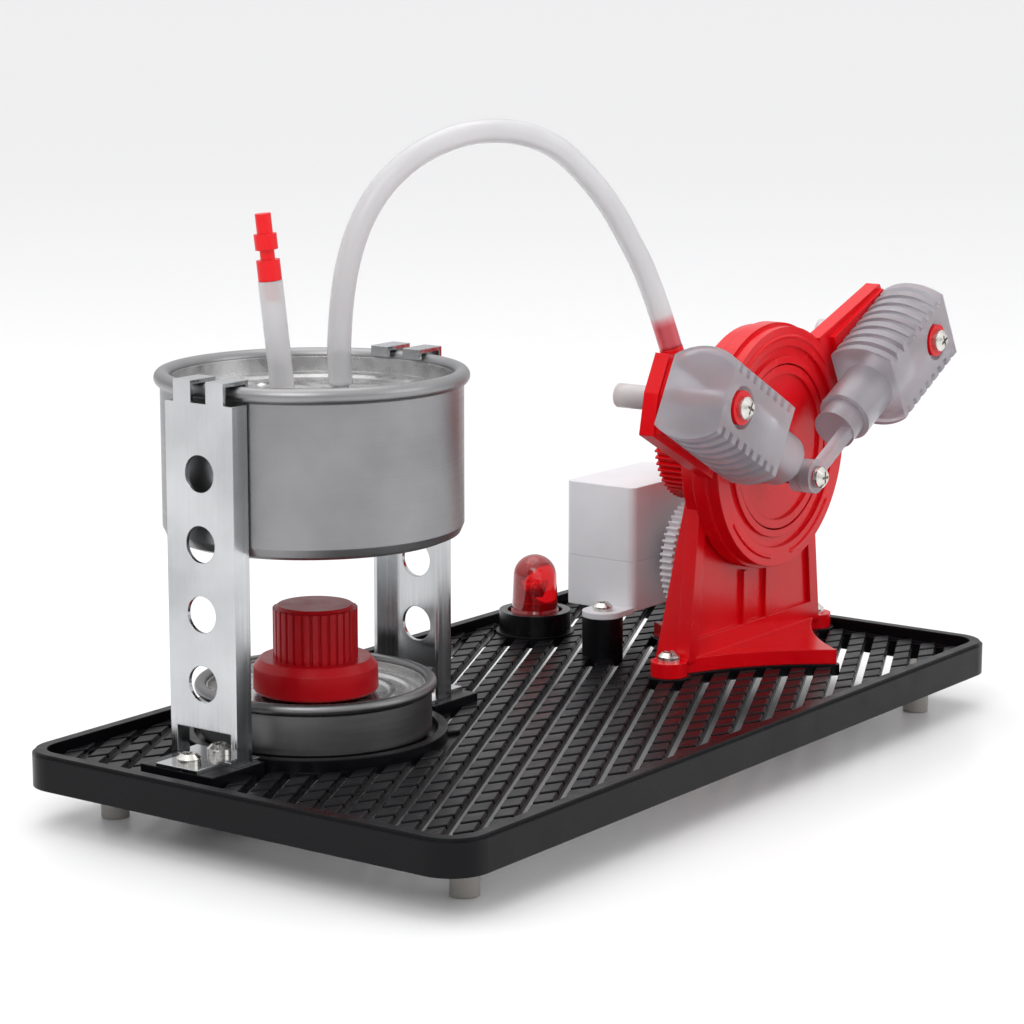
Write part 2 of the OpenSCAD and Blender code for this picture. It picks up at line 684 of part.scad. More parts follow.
module gear_outline(turn) polygon([for (k = [0:teeth - 1]) each tooth(turn + k * 360 / teeth)]);

module crank_gear() color([0.82, 0.05, 0.08]) at_crank() difference() {
    slab_y(crank_gear_y[0], crank_gear_y[1]) gear_outline(0);
    along_y(shaft_r + 0.01, -10, 10);
    difference() {
        along_y(gear_r - 3, crank_gear_y[1] - 1, 10);
        along_y(5, -10, 11);
    }
}

module at_generator() translate([engine_x, 0, gen_z]) children();

module generator_gear() color([0.9, 0.9, 0.9]) at_generator() difference() {
    slab_y(gen_gear_y[0], gen_gear_y[1]) gear_outline(180 / teeth);
    along_y(gen_shaft_r + 0.01, -10, 10);
    difference() {
        along_y(gear_r - 3, gen_gear_y[0] - 1, gen_gear_y[0] + 1);
        along_y(4, -10, 11);
    }
}

// ---- generator ----

module generator_shaft() color([0.7, 0.7, 0.72]) at_generator()
    along_y(gen_shaft_r, gen_gear_y[0] - 1, gen_y[1] - 3);

module generator_rotor() color([0.6, 0.35, 0.2]) at_generator() difference() {
    along_y(rotor_r, gen_y[0] + 6.5, gen_y[1] - 6.5);
    along_y(gen_shaft_r + 0.01, 0, 40);
}

module generator_motor() color([0.6, 0.6, 0.62]) at_generator() difference() {
    along_y(motor_r, gen_y[0] + gen_wall + 0.2, gen_y[1] - gen_wall - 0.2);
    along_y(motor_r - 2, gen_y[0] + 3.5, gen_y[1] - 3.5);
    along_y(gen_shaft_r + 0.06, 0, 40);
}

module generator_nose() color([0.07, 0.07, 0.07]) at_generator() difference() {
    along_y(5.5, gen_gear_y[1] + 1.2, gen_y[0] + gen_wall + 0.1);
    along_y(gen_shaft_r + 0.2, 0, 40);
}

module case_half(z0, z1) translate([engine_x, (gen_y[0] + gen_y[1]) / 2, z0])
    round_plate(gen_w, gen_y[1] - gen_y[0], 2.2, z1 - z0);

module case_hollow() {
    translate([engine_x - gen_w / 2 + gen_wall, gen_y[0] + gen_wall, gen_bottom + gen_wall])
        cube([gen_w - 2 * gen_wall, gen_y[1] - gen_y[0] - 2 * gen_wall,
            gen_top - gen_bottom - 2 * gen_wall]);
    at_generator() along_y(5.6, gen_y[0] - 1, gen_y[0] + gen_wall + 1);
}

module generator_lower_case() color([0.9, 0.9, 0.91]) difference() {
    union() {
        case_half(gen_bottom, gen_z);
        for (s = [-1, 1]) {
            translate([engine_x + s * post_x, lug_y, lug_top - lug_t]) cylinder(r = lug_r, h = lug_t);
            translate([engine_x + s * post_x - (s > 0 ? lug_run : 0), lug_y - lug_r, lug_top - lug_t])
                cube([lug_run, 2 * lug_r, lug_t]);
        }
    }
    case_hollow();
    for (s = [-1, 1]) translate([engine_x + s * post_x, lug_y, lug_top - lug_t - 1])
        cylinder(r = 1.6, h = lug_t + 2);
}

module generator_upper_case() color([0.9, 0.9, 0.91]) difference() {
    case_half(gen_z, gen_top);
    case_hollow();
}

module generator_screws() color([0.75, 0.75, 0.76])
    for (s = [-1, 1]) translate([engine_x + s * post_x, lug_y, lug_top]) pan_screw(2.8, 2.2, 7);

// ---- lamp ----

module lamp_socket() color([0.05, 0.05, 0.06]) translate([lamp_x, lamp_y, 0]) difference() {
    translate([0, 0, pad_top - 1.6]) cylinder(r = socket_r, h = socket_top - pad_top + 1.6);
    translate([0, 0, socket_top - 2.6]) cylinder(r = 7.9, h = 4);
}

module lamp_bulb() color([0.85, 0.02, 0.05]) translate([lamp_x, lamp_y, 0]) rotate_extrude()
    intersection() {
        union() {
            translate([0, lamp_top - lamp_d / 2]) circle(lamp_d / 2);
            polygon([[0, socket_top - 2.6], [7.6, socket_top - 2.6], [7.6, socket_top - 1.4],
                [lamp_d / 2 + 0.4, socket_top + 0.6], [lamp_d / 2, lamp_top - lamp_d / 2],
                [0, lamp_top - lamp_d / 2]]);
        }
        square([20, 60]);
    }

// ---- cylinders, drawn with the pivot at the origin and the crank's side towards +X ----

module fin_section(shrink) intersection() {
    translate([0, -fin_drop]) circle(fin_arc_r - shrink, $fn = 96);
    translate([0, fin_drop]) circle(fin_arc_r - shrink, $fn = 96);
    square([2 * block_half, 40], center = true);
}

module along_axis(x0, x1) translate([x0, axis_y, 0]) rotate([90, 0, 90]) linear_extrude(x1 - x0)
    children();

module steam_cylinder() {
    pitch = (block_foot - block_head) / (fin_count + 0.5);
    groove = pitch * 0.45;
    difference() {
        union() {
            along_axis(block_head, block_foot) fin_section(1.8);
            for (k = [0:fin_count])
                along_axis(block_head + k * pitch, min(block_foot, block_head + k * pitch + pitch - groove))
                    fin_section(0);
            along_axis(block_foot - 1, neck_end) circle(neck_r);
        }
        along_axis(bore_start, neck_end + 1) circle(d = bore_d);
        along_y(post_r + 0.02, axis_y - 20, axis_y + 20);
        along_y(recess_r, axis_y - 20, axis_y - block_half + 2.4);
    }
}

module left_cylinder() color([0.8, 0.79, 0.82]) at_left() steam_cylinder();
module right_cylinder() color([0.8, 0.79, 0.82]) at_right() steam_cylinder();

// Pivot post: it turns with the cylinder and runs in the arm's bore
module pivot_post() difference() {
    union() {
        along_y(post_r, axis_y - block_half + 2, arm_back - 1.2);
        along_y(tail_r, arm_back - 2, cap_back - 1);
        along_y(post_head_r, axis_y - block_half - 0.2, axis_y - block_half + 2.4);
    }
    along_y(1.6, axis_y - 20, axis_y - 2);
}

module left_pivot_post() color([0.8, 0.04, 0.08]) at_left() pivot_post();
module right_pivot_post() color([0.8, 0.04, 0.08]) at_right() pivot_post();
module left_pivot_screw() color([0.75, 0.75, 0.76]) at_left()
    screw_y(3, 2.4, 6, axis_y - block_half - 0.2);
module right_pivot_screw() color([0.75, 0.75, 0.76]) at_right()
    screw_y(3, 2.4, 6, axis_y - block_half - 0.2);

// Spring behind the arm that holds the cylinder against its port face, drawn as a plain sleeve
module pivot_spring() difference() {
    along_y(2.3, arm_back + gap, cap_back - 2.2);
    along_y(tail_r + 0.05, -30, 0);
}

module left_spring() color([0.7, 0.7, 0.7]) at_left() pivot_spring();
module right_spring() color([0.7, 0.7, 0.7]) at_right() pivot_spring();

module spring_cap() difference() {
    along_y(3.2, arm_back + 1.2, cap_back);
    along_y(2.4, -30, cap_back - 2);
    along_y(tail_r + 0.02, -30, cap_back - 0.9);
}

module left_spring_cap() color([0.75, 0.75, 0.76]) at_left() spring_cap();
module right_spring_cap() color([0.75, 0.75, 0.76]) at_right() spring_cap();

module piston(run) translate([norm(run), 0, 0])
    along_axis(-piston_lag - piston_l, -piston_lag) circle(piston_r);

module rod(run, y) translate([norm(run), 0, 0]) difference() {
    union() {
        along_y(eye_r, y - rod_t / 2, y + rod_t / 2);
        translate([-piston_lag, y - rod_t / 2, -rod_h / 2])
            cube([piston_lag - pin_r + 0.7, rod_t, rod_h]);
    }
    along_y(pin_r + 0.02, y - 10, y + 10);
}

module left_piston() color([0.84, 0.82, 0.84]) at_left() piston(left_run);
module right_piston() color([0.84, 0.82, 0.84]) at_right() piston(right_run);
module left_rod() color([0.84, 0.82, 0.84]) at_left() rod(left_run, rear_rod_y);
module right_rod() color([0.84, 0.82, 0.84]) at_right() rod(right_run, front_rod_y);

module left_rod_bush() color([0.8, 0.04, 0.08]) at_pin()
    along_y(pin_r, rear_rod_y - rod_t / 2 - 0.05, boss_front - gap);

module right_rod_bush() color([0.8, 0.04, 0.08]) at_pin() difference() {
    along_y(pin_r, front_rod_y - rod_t / 2 - 0.4, front_rod_y + rod_t / 2 + 0.02);
    along_y(1.52, -60, 0);
}

module crankpin_screw() color([0.75, 0.75, 0.76]) at_pin()
    screw_y(3, 2.3, rod_t, front_rod_y - rod_t / 2 - 0.4);

base_tray();
feet();
outer_stand();
inner_stand();
stand_screws();
boiler_can();
boiler_lid();
filler_spigot();
steam_spigot();
filler_hose();
steam_hose();
filler_plug();
burner_can();
burner_top_plate();
wick_tube();
wick();
snuffer_cap();
engine_tower();
tower_screws();
crank_housing();
valve_arms();
steam_nipple();
crank_disc();
crankshaft();
shaft_bush();
crank_gear();
generator_gear();
generator_shaft();
generator_rotor();
generator_motor();
generator_nose();
generator_lower_case();
generator_upper_case();
generator_screws();
lamp_socket();
lamp_bulb();
left_cylinder();
left_pivot_post();
left_pivot_screw();
left_spring();
left_spring_cap();
left_piston();
left_rod();
left_rod_bush();
right_cylinder();
right_pivot_post();
right_pivot_screw();
right_spring();
right_spring_cap();
right_piston();
right_rod();
right_rod_bush();
crankpin_screw();
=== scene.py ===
import math

import bpy
import numpy as np
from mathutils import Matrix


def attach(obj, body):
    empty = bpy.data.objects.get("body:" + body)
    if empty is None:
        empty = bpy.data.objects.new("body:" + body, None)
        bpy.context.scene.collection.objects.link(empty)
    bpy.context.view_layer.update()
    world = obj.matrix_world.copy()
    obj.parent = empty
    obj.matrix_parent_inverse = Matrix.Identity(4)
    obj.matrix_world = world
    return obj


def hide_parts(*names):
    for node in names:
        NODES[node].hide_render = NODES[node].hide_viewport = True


bl_info = {
    "name": "Model steam engine",
    "version": (1, 0, 0),
    "blender": (4, 5, 0),
    "location": "View3D > Sidebar > Steam engine",
    "description": "Finishes a model steam engine with a burner, a boiler, "
                   "an oscillating V-twin and a generator",
    "category": "Object",
}

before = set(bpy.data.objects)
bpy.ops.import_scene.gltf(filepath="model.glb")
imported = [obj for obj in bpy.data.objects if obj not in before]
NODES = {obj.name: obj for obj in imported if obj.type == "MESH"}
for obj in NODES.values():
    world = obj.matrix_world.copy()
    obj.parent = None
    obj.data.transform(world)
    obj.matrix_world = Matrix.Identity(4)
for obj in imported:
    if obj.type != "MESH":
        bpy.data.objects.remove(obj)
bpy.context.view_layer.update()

MM = 0.001
# The CAD's own places and sizes, in millimetres and degrees
TRAY_X, TRAY_LONG, TRAY_WIDE = -8.0, 250.0, 136.0
TRAY_BORDER = 4.4
DECK_TOP = 15.4
SLOT_PITCH, SLOT_ANGLE, SLOT_CLEARANCE = 6.7, 26, 1.22
BURNER_RING = 30.8
BOILER = (-71.6, 23.7)
CRANK = (69.8, 75.6)
ARM_DIRECTIONS = (160.2, 27.2)
PIVOT_REACH = 56.3
LAMP = (56.0, 48.0)

# The steam hose's route, in metres: the points of the CAD's own route
HOSE_ROUTE = [
    (-0.0606, 0.0237, 0.104), (-0.0609, 0.0239, 0.111), (-0.0606, 0.0238, 0.118),
    (-0.0599, 0.0234, 0.126), (-0.0584, 0.0226, 0.1345), (-0.0556, 0.021, 0.1435),
    (-0.051, 0.0184, 0.1517), (-0.0452, 0.0152, 0.1578), (-0.0388, 0.0116, 0.162),
    (-0.031, 0.0073, 0.1648), (-0.0225, 0.0025, 0.1654), (-0.0148, -0.0018, 0.1638),
    (-0.0078, -0.0057, 0.16), (-0.0012, -0.0093, 0.1534), (0.0046, -0.0126, 0.1454),
    (0.0086, -0.0149, 0.138), (0.0124, -0.0172, 0.13), (0.0153, -0.0193, 0.1215),
    (0.0173, -0.021, 0.114), (0.0185, -0.0223, 0.1084)]


# ---- sizes and colours a user may change ----

class SteamEngineSizes(bpy.types.PropertyGroup):
    tread_height: bpy.props.FloatProperty(
        name="Tread height", description="Height of the tray's tread above its deck",
        default=1.1 * MM, min=0.5 * MM, max=2.5 * MM, unit="LENGTH")
    tread_gap: bpy.props.FloatProperty(
        name="Tread groove", description="Width of the grooves across the tread's ribs",
        default=1.25 * MM, min=0.5 * MM, max=2.5 * MM, unit="LENGTH")
    tread_pitch: bpy.props.FloatProperty(
        name="Tread pitch", description="Distance between neighbouring tread grooves",
        default=6.7 * MM, min=4 * MM, max=10 * MM, unit="LENGTH")
    hose_outer: bpy.props.FloatProperty(
        name="Hose diameter", description="Outer diameter of the steam hose",
        default=6 * MM, min=5 * MM, max=7 * MM, unit="LENGTH")
    hose_bore: bpy.props.FloatProperty(
        name="Hose bore", description="Inner diameter of the steam hose",
        default=4.1 * MM, min=3 * MM, max=4.5 * MM, unit="LENGTH")
    spring_wire: bpy.props.FloatProperty(
        name="Spring wire", description="Diameter of the pivot springs' wire",
        default=0.55 * MM, min=0.3 * MM, max=0.7 * MM, unit="LENGTH")


class SteamEngineColours(bpy.types.PropertyGroup):
    engine_red: bpy.props.FloatVectorProperty(
        name="Engine red", description="Colour of the engine's mouldings", subtype="COLOR",
        size=3, default=(0.66, 0.0015, 0.006), min=0, max=1)
    snuffer_red: bpy.props.FloatVectorProperty(
        name="Snuffer red", description="Colour of the snuffer cap", subtype="COLOR",
        size=3, default=(0.40, 0.0015, 0.006), min=0, max=1)
    plug_red: bpy.props.FloatVectorProperty(
        name="Plug red", description="Colour of the filler plug", subtype="COLOR",
        size=3, default=(0.74, 0.006, 0.01), min=0, max=1)
    tray_black: bpy.props.FloatVectorProperty(
        name="Tray black", description="Colour of the tray", subtype="COLOR",
        size=3, default=(0.0035, 0.0035, 0.0045), min=0, max=1)
    tin_grey: bpy.props.FloatVectorProperty(
        name="Tin grey", description="Colour of the cans", subtype="COLOR",
        size=3, default=(0.29, 0.29, 0.295), min=0, max=1)
    case_white: bpy.props.FloatVectorProperty(
        name="Case white", description="Colour of the generator's case", subtype="COLOR",
        size=3, default=(0.70, 0.70, 0.725), min=0, max=1)


def sizes():
    return bpy.context.scene.steam_engine_sizes


def colours():
    return bpy.context.scene.steam_engine_colours


# ---- finishes ----

# The sockets of a Mix node that mixes two colours: inputs A and B, and the output
MIX_A, MIX_B, MIX_RESULT = 6, 7, 2


class Finish:
    """A material whose pattern reads Object coordinates. Each method adds one layer to it."""

    def __init__(self, name, colour, roughness, metal=0.0, round_edge=0.0):
        self.material = bpy.data.materials.new(name)
        self.material.use_nodes = True
        self.material.diffuse_color = (*colour, 1)
        self.tree = self.material.node_tree
        self.shader = self.tree.nodes["Principled BSDF"]
        self.put("Base Color", (*colour, 1))
        self.put("Roughness", roughness)
        self.put("Metallic", metal)
        self.coords = self.add("ShaderNodeTexCoord").outputs["Object"]
        self.normal = None
        if round_edge:
            bevel = self.add("ShaderNodeBevel")
            bevel.samples = 4
            bevel.inputs["Radius"].default_value = round_edge
            self.normal = bevel.outputs["Normal"]
            self.link(self.normal, self.shader.inputs["Normal"])

    def add(self, kind):
        return self.tree.nodes.new(kind)

    def link(self, a, b):
        self.tree.links.new(a, b)

    def put(self, socket, value):
        self.shader.inputs[socket].default_value = value
        return self

    def noise(self, scale, stretch=(1, 1, 1), detail=4.0, turn=(0, 0, 0)):
        """Noise of the given scale per metre, stretched by scaling each axis."""
        mapping = self.add("ShaderNodeMapping")
        mapping.inputs["Scale"].default_value = stretch
        mapping.inputs["Rotation"].default_value = turn
        self.link(self.coords, mapping.inputs["Vector"])
        noise = self.add("ShaderNodeTexNoise")
        noise.inputs["Scale"].default_value = scale
        noise.inputs["Detail"].default_value = detail
        self.link(mapping.outputs["Vector"], noise.inputs["Vector"])
        return noise.outputs["Fac"]

    def spread(self, value, low, high):
        """Maps the noise's middle range onto low to high."""
        spread = self.add("ShaderNodeMapRange")
        spread.inputs["From Min"].default_value = 0.3
        spread.inputs["From Max"].default_value = 0.7
        spread.inputs["To Min"].default_value = low
        spread.inputs["To Max"].default_value = high
        self.link(value, spread.inputs["Value"])
        return spread.outputs["Result"]

    def rough(self, value, low, high):
        self.link(self.spread(value, low, high), self.shader.inputs["Roughness"])
        return self

    def tint(self, value, first, second):
        """Mixes two colours by the noise."""
        mix = self.add("ShaderNodeMix")
        mix.data_type = "RGBA"
        self.link(self.spread(value, 0, 1), mix.inputs["Factor"])
        mix.inputs[MIX_A].default_value = (*first, 1)
        mix.inputs[MIX_B].default_value = (*second, 1)
        self.link(mix.outputs[MIX_RESULT], self.shader.inputs["Base Color"])
        return self

    def bump(self, value, depth, strength=0.5):
        """Raises the surface by the noise, depth in metres."""
        bump = self.add("ShaderNodeBump")
        bump.inputs["Strength"].default_value = strength
        bump.inputs["Distance"].default_value = depth
        self.link(value, bump.inputs["Height"])
        if self.normal:
            self.link(self.normal, bump.inputs["Normal"])
        self.normal = bump.outputs["Normal"]
        self.link(self.normal, self.shader.inputs["Normal"])
        return self


def shade(colour, factor):
    return tuple(min(1.0, c * factor) for c in colour)


def moulded(name, colour, low, high, grain=900, depth=0.00002, edge=0.0004):
    """Moulded plastic: faint flow marks in the colour, grain in the gloss."""
    f = Finish(name, colour, low, round_edge=edge)
    f.tint(f.noise(35), shade(colour, 0.9), shade(colour, 1.08))
    f.rough(f.noise(140, detail=6), low, high)
    f.bump(f.noise(grain, detail=2), depth, 0.35)
    return f


def engine_plastic():
    f = moulded("engine_red_plastic", tuple(colours().engine_red), 0.16, 0.28, 900, 0.000006)
    f.put("Subsurface Weight", 0.06).put("Subsurface Radius", (0.004, 0.0005, 0.0004))
    f.put("Specular IOR Level", 0.26)
    return f.material


def snuffer_plastic():
    f = moulded("snuffer_red_plastic", tuple(colours().snuffer_red), 0.26, 0.4, 700)
    return f.put("Specular IOR Level", 0.22).material


def plug_plastic():
    f = moulded("plug_red_plastic", tuple(colours().plug_red), 0.28, 0.4, 800)
    return f.put("Specular IOR Level", 0.3).material


def tray_plastic():
    f = moulded("tray_black_plastic", tuple(colours().tray_black), 0.24, 0.4, 1500, 0.00002, 0.0005)
    return f.put("Specular IOR Level", 0.14).material


def socket_plastic():
    return moulded("socket_black_plastic", tuple(colours().tray_black), 0.18, 0.3, 1200).material


def case_plastic():
    f = moulded("case_white_plastic", tuple(colours().case_white), 0.36, 0.5, 1300, 0.00002, 0.0005)
    return f.material


def foot_plastic():
    f = moulded("foot_grey_plastic", (0.42, 0.40, 0.37), 0.35, 0.5, 700)
    f.put("Transmission Weight", 0.3).put("IOR", 1.45)
    return f.material


def tin_plate(name="satin_tin", factor=1.0):
    """Satin tin: fine level scratches round the can, blotches in the grey."""
    grey = shade(tuple(colours().tin_grey), factor)
    f = Finish(name, grey, 0.36, 1.0, 0.0003)
    f.tint(f.noise(60, detail=5), shade(grey, 0.9), shade(grey, 1.1))
    lines = f.noise(1, (30, 30, 5200), 5)
    f.rough(lines, 0.3, 0.46)
    f.bump(lines, 0.000012, 0.35)
    return f.material


def burner_tin():
    return tin_plate("burner_tin", 0.66)


def lid_tin():
    """Brighter tin of the lid, with water spots and a faint noise bump."""
    f = Finish("lid_tin", (0.55, 0.55, 0.55), 0.26, 1.0, 0.0003)
    spots = f.noise(240, detail=3)
    f.tint(spots, (0.46, 0.455, 0.45), (0.62, 0.62, 0.62))
    f.rough(spots, 0.2, 0.36)
    f.bump(f.noise(90, detail=2), 0.00003, 0.25)
    return f.material


def stand_aluminium():
    """Polished aluminium sheet with fine upright drawn lines and small scuffs."""
    f = Finish("stand_aluminium", (0.56, 0.57, 0.58), 0.16, 1.0, 0.0003)
    lines = f.noise(1, (900, 2600, 18), 6)
    f.rough(lines, 0.1, 0.26)
    f.tint(f.noise(45), (0.46, 0.47, 0.48), (0.64, 0.65, 0.66))
    f.bump(lines, 0.000012, 0.4)
    return f.material


def screw_metal():
    f = Finish("screw_nickel", (0.66, 0.64, 0.60), 0.22, 1.0, 0.0002)
    marks = f.noise(900, detail=4)
    f.rough(marks, 0.16, 0.34)
    f.tint(marks, (0.60, 0.58, 0.54), (0.72, 0.70, 0.66))
    return f.material


def plain_steel():
    f = Finish("plain_steel", (0.42, 0.42, 0.43), 0.32, 1.0, 0.0002)
    marks = f.noise(1, (200, 3000, 200), 4)
    f.rough(marks, 0.24, 0.42)
    f.bump(marks, 0.000012, 0.3)
    return f.material


def bronze():
    f = Finish("bush_bronze", (0.50, 0.33, 0.14), 0.34, 1.0, 0.0002)
    f.rough(f.noise(500), 0.26, 0.44)
    return f.material


def copper_winding():
    f = Finish("varnished_winding", (0.45, 0.17, 0.07), 0.3, 1.0)
    wires = f.noise(1, (400, 5000, 400), 2)
    f.rough(wires, 0.22, 0.4)
    f.bump(wires, 0.0001, 0.5)
    return f.material


def milky_plastic():
    """Milky clear moulding: light passes through it blurred, with flow marks."""
    f = Finish("milky_clear_plastic", (0.64, 0.62, 0.65), 0.3, 0.0, 0.0004)
    f.put("Transmission Weight", 0.74).put("IOR", 1.38).put("Subsurface Weight", 0.15)
    f.put("Subsurface Radius", (0.004, 0.004, 0.0045)).put("Coat Weight", 0.35).put("Coat Roughness", 0.14)
    f.tint(f.noise(55, detail=3), (0.56, 0.54, 0.58), (0.72, 0.70, 0.74))
    f.rough(f.noise(160, detail=5), 0.3, 0.42)
    f.bump(f.noise(260, detail=2), 0.00002, 0.2)
    return f.material


def silicone():
    """Milky silicone hose."""
    f = Finish("milky_silicone", (0.86, 0.85, 0.86), 0.34)
    f.put("Transmission Weight", 0.62).put("IOR", 1.41).put("Subsurface Weight", 0.1)
    f.put("Subsurface Radius", (0.003, 0.003, 0.003)).put("Coat Weight", 0.3).put("Coat Roughness", 0.2)
    f.tint(f.noise(30, detail=2), (0.83, 0.82, 0.83), (0.9, 0.89, 0.9))
    f.rough(f.noise(45, detail=2), 0.32, 0.4)
    return f.material


def hose_silicone():
    """The same silicone; the attribute 'pink' is 1 where the hose is stretched over the red nipple."""
    material = silicone()
    material.name = "steam_hose_silicone"
    tree = material.node_tree
    shader = tree.nodes["Principled BSDF"]
    old = shader.inputs["Base Color"].links[0].from_socket
    mark = tree.nodes.new("ShaderNodeAttribute")
    mark.attribute_name = "pink"
    mix = tree.nodes.new("ShaderNodeMix")
    mix.data_type = "RGBA"
    mix.inputs[MIX_B].default_value = (0.86, 0.09, 0.13, 1)
    tree.links.new(mark.outputs["Fac"], mix.inputs["Factor"])
    tree.links.new(old, mix.inputs[MIX_A])
    tree.links.new(mix.outputs[MIX_RESULT], shader.inputs["Base Color"])
    return material


def lamp_plastic():
    f = Finish("lamp_red_plastic", (0.85, 0.01, 0.015), 0.06)
    f.put("Transmission Weight", 0.72).put("IOR", 1.5).put("Coat Weight", 0.4)
    f.rough(f.noise(120), 0.04, 0.1)
    return f.material


def cotton():
    f = Finish("wick_cotton", (0.74, 0.70, 0.60), 0.9)
    fibres = f.noise(1, (2500, 2500, 500), 5)
    f.tint(fibres, (0.66, 0.61, 0.50), (0.80, 0.77, 0.68))
    f.rough(fibres, 0.82, 0.98)
    f.bump(fibres, 0.0001, 0.6)
    return f.material


FINISH_OF = {
    "tray_black": (tray_plastic, ["base_tray"]),
    "socket_black": (socket_plastic, ["lamp_socket", "generator_nose"]),
    "feet": (foot_plastic, ["feet"]),
    "tin": (tin_plate, ["boiler_can", "wick_tube"]),
    "burner": (burner_tin, ["burner_can"]),
    "lid": (lid_tin, ["boiler_lid", "burner_top_plate"]),
    "aluminium": (stand_aluminium, ["outer_stand", "inner_stand"]),
    "screws": (screw_metal, ["stand_screws", "tower_screws", "generator_screws", "left_pivot_screw",
                             "right_pivot_screw", "crankpin_screw"]),
    "steel": (plain_steel, ["filler_spigot", "steam_spigot", "crankshaft", "generator_shaft",
                            "generator_motor"]),
    "silicone": (silicone, ["filler_hose", "left_spring_cap", "right_spring_cap"]),
    "plug": (plug_plastic, ["filler_plug"]),
    "snuffer": (snuffer_plastic, ["snuffer_cap"]),
    "red": (engine_plastic, ["engine_tower", "crank_housing", "valve_arms", "steam_nipple", "crank_disc",
                             "crank_gear", "left_pivot_post", "right_pivot_post", "left_rod_bush",
                             "right_rod_bush"]),
    "white": (case_plastic, ["generator_lower_case", "generator_upper_case", "generator_gear"]),
    "bronze": (bronze, ["shaft_bush"]),
    "copper": (copper_winding, ["generator_rotor"]),
    "milky": (milky_plastic, ["left_cylinder", "right_cylinder", "left_piston", "right_piston",
                              "left_rod", "right_rod"]),
    "lamp": (lamp_plastic, ["lamp_bulb"]),
}
MAKERS = {key: make for key, (make, _) in FINISH_OF.items()}
MAKERS.update(hose=hose_silicone, cotton=cotton)
MADE = {}


def finish(key):
    """The finish's material, made once."""
    if key not in MADE:
        MADE[key] = MAKERS[key]()
    return MADE[key]


# ---- numpy surfaces ----

def piece(name, points, faces, material, body, smooth=True):
    """Makes a mesh object from an N x 3 array in metres and lists of corner numbers."""
    mesh = bpy.data.meshes.new(name)
    mesh.from_pydata(points.tolist(), [], faces)
    mesh.update()
    mesh.polygons.foreach_set("use_smooth", np.full(len(mesh.polygons), smooth))
    mesh.materials.append(material)
    made = bpy.data.objects.new(name, mesh)
    bpy.context.scene.collection.objects.link(made)
    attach(made, body)
    return made


def grid_faces(rows, columns, closed_columns=True, closed_rows=False):
    """Corner numbers of a grid's quads: row r and column c is corner r * columns + c."""
    r = np.arange(rows if closed_rows else rows - 1)[:, None]
    c = np.arange(columns if closed_columns else columns - 1)[None, :]
    r2, c2 = (r + 1) % rows, (c + 1) % columns
    quads = np.stack(np.broadcast_arrays(r * columns + c, r * columns + c2, r2 * columns + c2,
                                         r2 * columns + c), -1)
    return quads.reshape(-1, 4).tolist()


def smooth_line(points, steps):
    """Catmull-Rom curve: each point's tangent is half the step between its two neighbours."""
    p = np.asarray(points, float)
    q = np.vstack([p[:1], p, p[-1:]])
    t = (np.arange(steps) / steps)[None, :, None]
    a, b, c, d = (q[i:len(q) - 3 + i, None, :] for i in range(4))
    line = 0.5 * (2 * b + (c - a) * t + (2 * a - 5 * b + 4 * c - d) * t ** 2
                  + (3 * b - a - 3 * c + d) * t ** 3)
    return np.vstack([line.reshape(-1, 3), p[-1:]])


def ring_frames(line, across):
    """Two unit vectors square to the line at each point, the first square to a fixed direction."""
    way = np.gradient(line, axis=0)
    way /= np.linalg.norm(way, axis=1)[:, None]
    u = np.cross(np.asarray(across, float)[None, :], way)
    u /= np.linalg.norm(u, axis=1)[:, None]
    return u, np.cross(way, u)


def tube_points(line, across, radii, sides):
    """Rings round a line: centre + radius * (cos a * u + sin a * v)."""
    u, v = ring_frames(line, across)
    a = np.linspace(0, 2 * np.pi, sides, endpoint=False)[None, :, None]
    radii = np.broadcast_to(radii, len(line))[:, None, None]
    return line[:, None, :] + radii * (np.cos(a) * u[:, None, :] + np.sin(a) * v[:, None, :])


def capped_tube(line, across, radii, sides):
    """Points and faces of a tube round a line, both its ends closed."""
    points = tube_points(line, across, radii, sides).reshape(-1, 3)
    first = np.arange(sides)
    last = first + (len(line) - 1) * sides
    return points, grid_faces(len(line), sides) + [first[::-1].tolist(), last.tolist()]


def joined(parts):
    """Several parts' points and faces as one, each part's corners numbered on from the last."""
    points, faces, start = [], [], 0
    for part_points, part_faces in parts:
        points.append(part_points)
        faces += [[n + start for n in face] for face in part_faces]
        start += len(part_points)
    return np.vstack(points), faces


def turned(name, profile, centre, material, body, sides=64):
    """A closed profile of (radius, height) in mm turned about +Z through centre (x, y)."""
    p = np.asarray(profile, float)
    a = np.linspace(0, 2 * np.pi, sides, endpoint=False)[None, :]
    x = centre[0] + p[:, :1] * np.cos(a)
    y = centre[1] + p[:, :1] * np.sin(a)
    z = np.broadcast_to(p[:, 1:2], x.shape)
    points = np.stack([x, y, z], -1).reshape(-1, 3) * MM
    return piece(name, points, grid_faces(len(p), sides, True, True), material, body)


# ---- operators ----

class STEAM_OT_camera(bpy.types.Operator):
    """Place the camera in front of the tray's boiler end"""
    bl_idname = "steam.camera"
    bl_label = "Camera"

    def execute(self, context):
        data = bpy.data.cameras.new("camera")
        data.lens, data.sensor_width = 108.72, 36
        data.clip_start, data.clip_end = 0.02, 60
        camera = bpy.data.objects.new("camera", data)
        camera.location = (-0.6504, -0.4597, 0.2137)
        camera.rotation_euler = (math.radians(79.43), 0, math.radians(-53.86))
        context.scene.collection.objects.link(camera)
        context.scene.camera = camera
        return {"FINISHED"}


